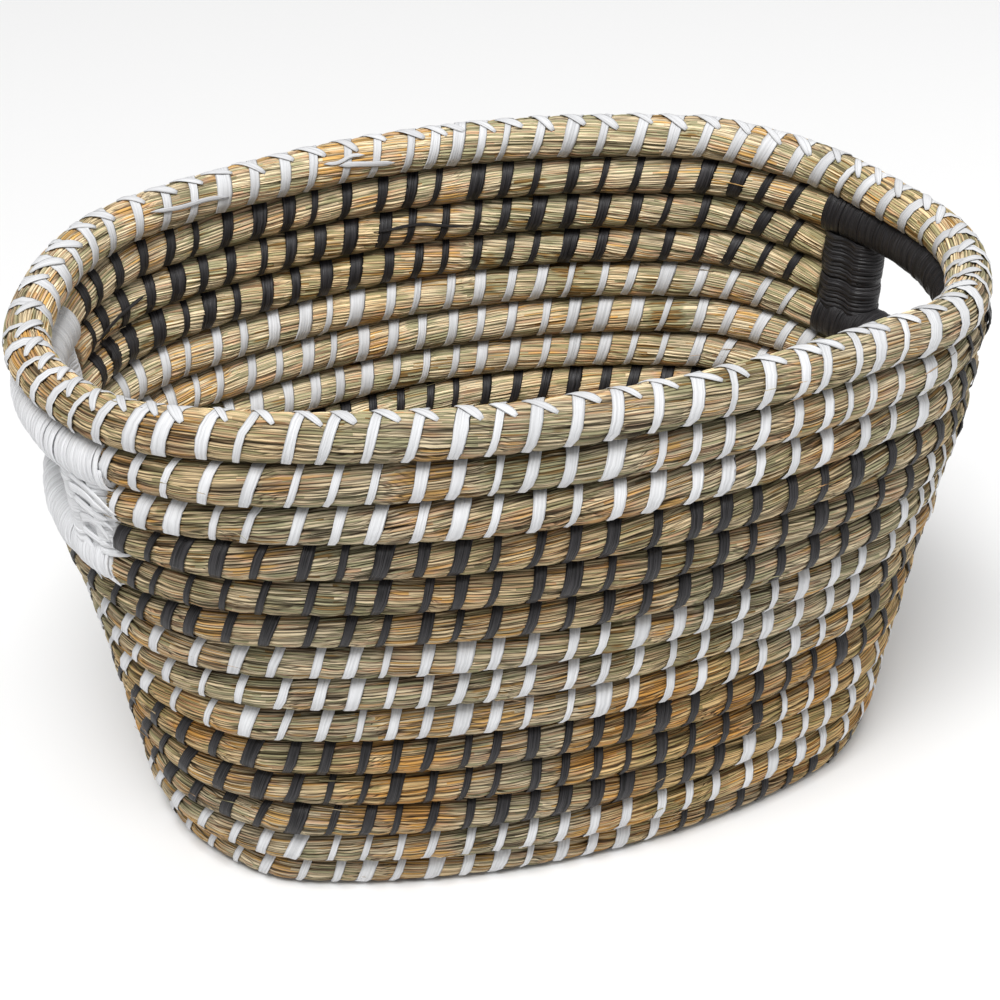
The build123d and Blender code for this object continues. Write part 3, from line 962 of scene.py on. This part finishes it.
def raffia_material(name, colour, painted_crease_shade, shine, fibre_tone_and_sheen):
    """Raffia read from the run map: lengthwise creases and fibres, a tone of its own for each
    strip, and slow changes along it. The creases are darkened with painted shade, and the fibres
    carry their own tone and painted sheen."""
    material, tree, shader, along, count = start_material(name)
    strip = maths(tree, "FLOOR", maths(tree, "DIVIDE", count, 3.0))
    own = chance_of(tree, strip, "1D")
    lines = stretched(tree, along, 22.0, count, 6.0)
    hairs = stretched(tree, along, 40.0, count, 21.0)
    fold = noise(tree, lines, 1.0, 2.0)
    hair = noise(tree, hairs, 1.0, 2.0)
    # Painted shade in the creases: where the folds are low, the colour falls to the crease
    # brightness.
    tone = grey_ramp(tree, fold, (0.36, painted_crease_shade), (0.47, 0.9), (0.56, 1.0))
    tint = grey_ramp(tree, own, (0.0, 0.9), (1.0, 1.06))
    shown = mix_colour(tree, "MULTIPLY", 1.0, tone, tint)
    shown = mix_colour(tree, "MULTIPLY", 1.0, shown, tuple(colour))
    # Partly the fibres' own tone and partly painted sheen: single threads are shown darker and
    # lighter by up to the given share.
    fibre_tone_and_sheen_factor = grey_ramp(tree, hair, (0.36, 1.0 - fibre_tone_and_sheen), (0.64, 1.0 + fibre_tone_and_sheen))
    shown = mix_colour(tree, "MULTIPLY", 1.0, shown, fibre_tone_and_sheen_factor)
    rough = grey_ramp(tree, hair, (0.3, 0.72 - shine), (0.7, 0.56 - shine))
    height = maths(tree, "MULTIPLY_ADD", hair, 0.35, fold)
    finish_shader(tree, shader, shown, rough, 0.3, (0.9, 0.6 * MM, height))
    return material


# How ripe each straw is, and for each raffia its colour setting, how much brighter it is shown as
# painted light, the brightness of its painted crease shade, its shine and how much its fibres
# differ in tone and painted sheen.
STRAW_LOOKS = {"wall_straw": 0.0, "low_wall_straw": 0.12}
RAFFIA_LOOKS = {
    "white_strips": ("white", 1.0, 0.82, 0.05, 0.05),
    # The white windings and tails are the white raffia shown 1.13 times brighter, as painted light.
    "white_turns": ("white", 1.13, 0.84, 0.05, 0.05),
    "black_strips": ("black", 1.0, 0.35, 0.2, 0.75),
    "black_turns": ("black", 1.0, 0.3, 0.28, 0.9),
}
MATERIALS = {}


def get_material(name):
    """The basket's materials by name, each made when it is first asked for."""
    if name not in MATERIALS:
        if name in STRAW_LOOKS:
            MATERIALS[name] = straw_material(name, STRAW_LOOKS[name])
        else:
            word, painted_light_factor, *look = RAFFIA_LOOKS[name]
            raffia = getattr(bpy.context.scene.basket_raffia, word)
            MATERIALS[name] = raffia_material(name, [painted_light_factor * part for part in raffia], *look)
    return MATERIALS[name]


# ---------------------------------------------------------------- what each operator builds

WALL = {}


def wall():
    """The wall rounds and the directions of their stitches, worked out once."""
    if not WALL:
        WALL["rounds"] = read_wall()
        WALL["stitches"] = stitch_angles(WALL["rounds"], bpy.context.scene.basket_raffia.spacing)
    return WALL["rounds"], WALL["stitches"]


def open_stitches(oval, angles):
    """Directions of the stitches that a round shows: those outside the windings."""
    if GRIP_ROUND <= oval.number <= SILL_ROUND:
        return angles[~near_an_end(angles, np.radians(WRAP_ANGLE + STITCH_MARGIN))]
    return angles


def base_ovals(rounds):
    """Rounds of the flat base read from their CAD boxes, from the outermost in."""
    lowest = rounds[-1]
    width = lowest.side - lowest.cy
    core = node_box("base_core")[1][0]
    ovals = []
    for number in range(1, BASE_ROUNDS + 1):
        low, high = node_box(f"base_coil_{number}")
        radius = (high[2] - low[2] + BASE_FLAT) / 2
        centre = core + (END_CENTRE_X - core) * (BASE_ROUNDS + 1 - number) / (BASE_ROUNDS + 1)
        ovals.append(Round(BASE_NUMBER + number, high[0] - radius, high[1] - radius, centre,
                           radius - BASE_FLAT, radius, [("", 0.0, TURN)]))
    spread = (width - (ovals[-1].side - ovals[-1].cy)) / BASE_ROUNDS
    return ovals, spread, core


def build_wall_bundles():
    rounds, stitches = wall()
    for oval in rounds:
        look = "low_wall_straw" if oval.number > RIPE_BELOW else "wall_straw"
        flatten = LOWEST_STRAW if oval.number == WALL_ROUNDS else None
        name = "rim_bundle" if oval.number == 1 else f"wall_bundle_{oval.number:02d}"
        node = "rim_coil" if oval.number == 1 else f"wall_coil_{oval.number:02d}"
        for part, low, high in oval.spans:
            shown = open_stitches(oval, stitches[oval.number])
            make_bundle(name + part, oval, (low, high), shown, node + part, look,
                        40 + oval.number + (20 if part == "_front" else 0), flatten)


def build_wall_stitches():
    rounds, stitches = wall()
    for oval in rounds:
        angles = open_stitches(oval, stitches[oval.number])
        back = side_is_back(angles, oval.number)
        letters = np.where(back, BACK_COLOURS[oval.number - 1], FRONT_COLOURS[oval.number - 1])
        lowest = LOWEST_STRIP if oval.number == WALL_ROUNDS else None
        for letter, word in (("W", "white"), ("B", "black")):
            own = angles[letters == letter]
            if len(own):
                seed = 700 + 2 * oval.number + (letter == "B")
                parts = stitch_strips(oval, own, seed, lowest=lowest)
                make_piece(f"{word}_strips_{oval.number:02d}", [parts], f"{word}_strips",
                           [f"{word}_stitches_{oval.number:02d}"])


def build_rim_crossings():
    rounds, stitches = wall()
    parts = crossing_strips(rounds[0], stitches[1], 901)
    make_piece("rim_crossings", [parts], "white_strips", ["rim_crossing_strips"])


def build_base():
    rounds, _ = wall()
    ovals, spread, core = base_ovals(rounds)
    raffia = bpy.context.scene.basket_raffia
    wide = spread / (2 * ovals[0].radius) * 1.04
    strips = []
    for oval in ovals:
        places = even_places(oval, raffia.spacing)
        number = oval.number - BASE_NUMBER
        make_bundle(f"base_bundle_{number}", oval, (0.0, TURN), places, f"base_coil_{number}",
                    "wall_straw", 90 + oval.number, LOWEST_STRAW, wide, coarse=2)
        strips.append(stitch_strips(oval, places, 860 + oval.number, -100.0, 262.0, wide,
                                   LOWEST_STRIP))
    make_base_core(ovals[-1], core, wide)
    make_piece("base_strips", strips, "white_strips", ["base_stitches"])


def make_base_core(inner, core, wide):
    """Straight first length of the base: a bundle along X with rounded ends.

    Its half width and its height shrink towards the ends as a half circle does, and straws run
    along it in the same way as round a bundle.
    """
    straw = bpy.context.scene.basket_straw
    rows, count = 60, straw.straws // 2
    reach = core + inner.radius
    t = np.linspace(-1, 1, rows)
    x = reach * np.sin(t * np.pi / 2)
    taper = np.sqrt(np.clip(1 - (np.abs(x) - core).clip(0)**2 / inner.radius**2, 0.01, 1))
    points_round = count * len(STRAW_PLACES)
    way = np.arange(points_round) / points_round * TURN
    relief = np.tile(STRAW_HEIGHTS, count) * straw.straw_relief
    radius = inner.radius * taper[:, None] + relief[None] * taper[:, None]
    y = radius * np.cos(way) * wide * 1.1
    z = inner.height + radius * np.sin(way)
    points = np.stack([np.repeat(x[:, None], len(way), 1), -y, np.maximum(z, LOWEST_STRAW)], -1)
    uv = bundle_uv(x + reach, rows, count, 3.0)
    parts = grid_parts(points[None], uv, wrap_columns=True, caps=True)
    piece = make_piece("base_first_length", [parts], "wall_straw", ["base_core"])
    depth = np.tile(-STRAW_HEIGHTS * 0.5, (rows, count))
    store_depth(piece, np.stack([depth, np.full_like(depth, 0.5), np.zeros_like(depth)], -1))


def build_hand_openings():
    rounds, _ = wall()
    handle = bpy.context.scene.basket_handle
    grip, sill = rounds[GRIP_ROUND - 1], rounds[SILL_ROUND - 1]
    wrap, opening = np.radians(WRAP_ANGLE), np.radians(OPENING_ANGLE)
    for word, middle in (("black", 0.0), ("white", np.pi)):
        look = f"{word}_turns"
        seed = 500 if word == "black" else 540
        raised = handle.raise_black_grip if word == "black" else handle.raise_white_grip
        for name, oval, shift, radius in (("grip", grip, raised, handle.grip_radius),
                                          ("sill", sill, handle.raise_sill, handle.sill_radius)):
            # The white sill stops short on the -Y side, where its ends are spread over the wall.
            short = np.radians(SHORT_SILL) if (word, name) == ("white", "sill") else 0.0
            path = round_path(oval, middle - wrap, middle + wrap - short, shift)
            arc = (2 * wrap - short) * oval.end
            turns = arc / handle.turn
            parts = [winding(path, radius, radius, turns, 1.35 * handle.turn, seed),
                     core_tube(path, radius - 0.5 * MM, radius - 0.5 * MM)]
            make_piece(f"{word}_{name}_winding", parts, look, [f"{word}_{name}_wrap"])
            seed += 1
        parts = []
        for sign in (-1, 1):
            # The white post on the -Y side is the broadest of the four.
            broad = np.radians(BROAD_POST) if word == "white" and sign == 1 else 0.0
            post_middle = (wrap + opening - broad) / 2
            half = (wrap - opening + broad) / 2 * grip.end
            path = post_path(grip, sill, middle + sign * post_middle, POST_INSET)
            turns = 0.72 * (grip.height - sill.height) / handle.turn
            parts.append(winding(path, half, handle.post_depth, turns, 1.5 * handle.turn, seed,
                                 POST_DENT))
            parts.append(core_tube(path, half - 0.6 * MM, handle.post_depth - 0.6 * MM, POST_DENT))
            seed += 1
        make_piece(f"{word}_post_windings", parts, look, [f"{word}_post_wraps"])


def build_loose_ends():
    rounds, _ = wall()
    tails = [(200, 2.6, 217.5, 3.05, 4.0), (201, 2.9, 215, 3.2, 5.0), (202, 3.2, 213.5, 3.4, 5.5),
             (202, 3.5, 214, 3.7, 5.0), (202, 3.8, 213, 4.0, 5.0), (202, 4.1, 212, 4.2, 4.5),
             (201, 4.4, 211.5, 5.4, 7.0), (199, 4.7, 207, 5.3, 5.5), (197, 5.0, 203, 5.6, 5.0)]
    make_piece("white_tails", [fan_of_tails(rounds, tails, 61)], "white_turns", [])
    white = [(97, 87.5, 158, 176, 3.0), (113, 100, 150, 168, 2.4), (98, 91, 150, 140, 2.0)]
    make_piece("white_ends_on_rim", [laid_strips(rounds[0], white, 62)], "white_strips", [])
    black = [(118, 131, 150, 185, 2.0), (88, 104, 170, 150, 1.8)]
    make_piece("black_ends_inside", [laid_strips(rounds[2], black, 63)], "black_strips", [])
    make_piece("stray_straws", stray_straws(rounds, 24, 64), "wall_straw", [])


def build_studio():
    """Pale floor, soft pale surroundings, a wide lamp at the upper left front and the camera."""
    scene = bpy.context.scene
    stage = scene.basket_stage
    scene.view_settings.view_transform = "Standard"
    mesh = bpy.data.meshes.new("floor")
    mesh.from_pydata([(-9, -9, 0), (9, -9, 0), (9, 9, 0), (-9, 9, 0)], [], [(0, 1, 2, 3)])
    floor = bpy.data.objects.new("floor", mesh)
    scene.collection.objects.link(floor)
    material = bpy.data.materials.new("floor")
    material.use_nodes = True
    shader = material.node_tree.nodes["Principled BSDF"]
    shader.inputs["Base Color"].default_value = (*stage.floor, 1.0)
    shader.inputs["Roughness"].default_value = 0.9
    mesh.materials.append(material)
    world = bpy.data.worlds.new("studio")
    world.use_nodes = True
    world.node_tree.nodes["Background"].inputs[0].default_value = (1.0, 1.0, 1.0, 1.0)
    world.node_tree.nodes["Background"].inputs[1].default_value = stage.sky
    scene.world = world
    for name, place, size, power in (("key", (-0.9, -1.3, 4.1), 1.9, stage.key),
                                     ("fill", (1.7, -0.4, 1.2), 1.4, stage.fill)):
        lamp = bpy.data.lights.new(name, "AREA")
        lamp.size = size
        lamp.energy = power
        holder = bpy.data.objects.new(name, lamp)
        scene.collection.objects.link(holder)
        holder.location = place
        beam = Vector((0, 0, 0.15)) - Vector(place)
        holder.rotation_euler = beam.to_track_quat("-Z", "Y").to_euler()
    camera_data = bpy.data.cameras.new("camera")
    camera = bpy.data.objects.new("camera", camera_data)
    scene.collection.objects.link(camera)
    camera_data.lens = stage.lens
    camera_data.sensor_width = 36
    camera_data.dof.use_dof = False
    rounds, _ = wall()
    middle = np.array([-scene.basket_shape.drift / 2, 0, rounds[0].height])
    azimuth, elevation = stage.azimuth, stage.elevation
    place = middle + stage.distance * np.array([
        -np.sin(azimuth) * np.cos(elevation), -np.cos(azimuth) * np.cos(elevation),
        np.sin(elevation)])
    aim = middle + stage.aim_side * np.array([np.cos(azimuth), -np.sin(azimuth), 0])
    aim[2] -= stage.aim_down
    turn = Vector(aim - place).to_track_quat("-Z", "Y") @ Quaternion((0, 0, 1), stage.roll)
    camera.location = place
    camera.rotation_mode = "QUATERNION"
    camera.rotation_quaternion = turn
    camera_data.clip_start, camera_data.clip_end = 0.01, 50
    scene.camera = camera


# ---------------------------------------------------------------- operators and panel

class BuildWallBundles(bpy.types.Operator):
    """Builds the straw bundles of the rim and the wall"""
    bl_idname = "basket.wall_bundles"
    bl_label = "Wall bundles"

    def execute(self, context):
        build_wall_bundles()
        return {"FINISHED"}


class BuildWallStitches(bpy.types.Operator):
    """Sews the wall bundles together with white and black strips"""
    bl_idname = "basket.wall_stitches"
    bl_label = "Wall stitches"

    def execute(self, context):
        build_wall_stitches()
        return {"FINISHED"}


class BuildRimCrossings(bpy.types.Operator):
    """Lays the short white strips across the rim"""
    bl_idname = "basket.rim_crossings"
    bl_label = "Rim crossings"

    def execute(self, context):
        build_rim_crossings()
        return {"FINISHED"}


class BuildBase(bpy.types.Operator):
    """Builds the flat base with its stitches"""
    bl_idname = "basket.base"
    bl_label = "Base"

    def execute(self, context):
        build_base()
        return {"FINISHED"}


class BuildHandOpenings(bpy.types.Operator):
    """Winds the grips, posts and sills of the two hand openings"""
    bl_idname = "basket.hand_openings"
    bl_label = "Hand openings"

    def execute(self, context):
        build_hand_openings()
        return {"FINISHED"}


class BuildLooseEnds(bpy.types.Operator):
    """Adds the ends of strips that were left lying and the straws that stand out"""
    bl_idname = "basket.loose_ends"
    bl_label = "Loose ends"

    def execute(self, context):
        build_loose_ends()
        return {"FINISHED"}


class BuildStudio(bpy.types.Operator):
    """Sets up the floor, the light and the camera"""
    bl_idname = "basket.studio"
    bl_label = "Studio"

    def execute(self, context):
        build_studio()
        return {"FINISHED"}


SETTINGS = {
    "basket_straw": BasketStrawSettings,
    "basket_raffia": BasketRaffiaSettings,
    "basket_handle": BasketHandleSettings,
    "basket_shape": BasketShapeSettings,
    "basket_stage": BasketStageSettings,
}
OPERATORS = (BuildWallBundles, BuildWallStitches, BuildRimCrossings, BuildBase, BuildHandOpenings,
             BuildLooseEnds, BuildStudio)


class BasketPanel(bpy.types.Panel):
    """Lists the steps that build the basket, and their settings"""
    bl_idname = "VIEW3D_PT_coiled_basket"
    bl_label = "Coiled Basket"
    bl_space_type = "VIEW_3D"
    bl_region_type = "UI"
    bl_category = "Basket"

    def draw(self, context):
        for operator in OPERATORS:
            self.layout.operator(operator.bl_idname)
        for name, group in SETTINGS.items():
            box = self.layout.box()
            for key in group.__annotations__:
                box.prop(getattr(context.scene, name), key)


def register():
    for group in SETTINGS.values():
        bpy.utils.register_class(group)
    for operator in OPERATORS:
        bpy.utils.register_class(operator)
    bpy.utils.register_class(BasketPanel)
    for name, group in SETTINGS.items():
        setattr(bpy.types.Scene, name, bpy.props.PointerProperty(type=group))


def unregister():
    for name in SETTINGS:
        delattr(bpy.types.Scene, name)
    bpy.utils.unregister_class(BasketPanel)
    for operator in reversed(OPERATORS):
        bpy.utils.unregister_class(operator)
    for group in reversed(list(SETTINGS.values())):
        bpy.utils.unregister_class(group)


def main():
    register()
    bpy.ops.basket.wall_bundles()
    bpy.ops.basket.wall_stitches()
    bpy.ops.basket.rim_crossings()
    bpy.ops.basket.base()
    bpy.ops.basket.hand_openings()
    bpy.ops.basket.loose_ends()
    bpy.ops.basket.studio()


if __name__ == "__main__":
    main()
